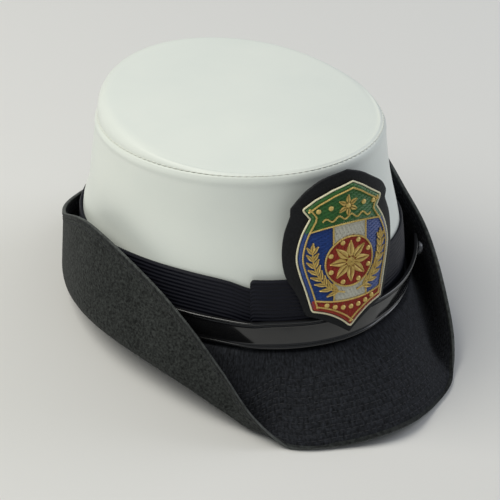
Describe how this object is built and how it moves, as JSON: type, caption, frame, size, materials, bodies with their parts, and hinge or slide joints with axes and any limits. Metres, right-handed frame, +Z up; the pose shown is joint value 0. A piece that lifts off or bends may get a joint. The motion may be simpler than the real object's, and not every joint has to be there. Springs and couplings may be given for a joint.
{
  "type": "uniform peaked hat",
  "caption": "Round-crowned uniform hat with a white crown, ribbed band, glossy front strap, shield badge, and a dark brim that is a peak in front and turned up at the sides and back.",
  "frame": {"origin": "middle of the bounding box, on the surface that the hat stands on", "axes": "+Z up, the peak points along -Y, +X is to the right of the picture from the front"},
  "size_m": [0.2024, 0.2642, 0.1398],
  "materials": {
    "crown_leathercloth": "smooth white coated leathercloth",
    "band_ribbon": "ribbed black ribbon",
    "strap_patent": "glossy black patent leather",
    "button_resin": "polished grey resin",
    "brim_cloth": "dark stitched wool cloth",
    "binding_tape": "dark woven tape",
    "backing_board": "matt black leather over board",
    "badge_thread": "embroidered in several colours",
    "badge_gilt": "twisted gilt wire",
    "pin_brass": "plain brass"
  },
  "bodies": {
    "root": {"crown_side": "crown_leathercloth", "crown_top": "crown_leathercloth", "band": "band_ribbon", "chin_strap": "strap_patent", "strap_button_left": "button_resin", "strap_button_right": "button_resin", "brim": "brim_cloth", "brim_binding": "binding_tape", "badge_backing": "backing_board", "badge_field": "badge_thread", "badge_rim": "badge_gilt", "badge_pin": "pin_brass"}
  },
  "joints": []
}
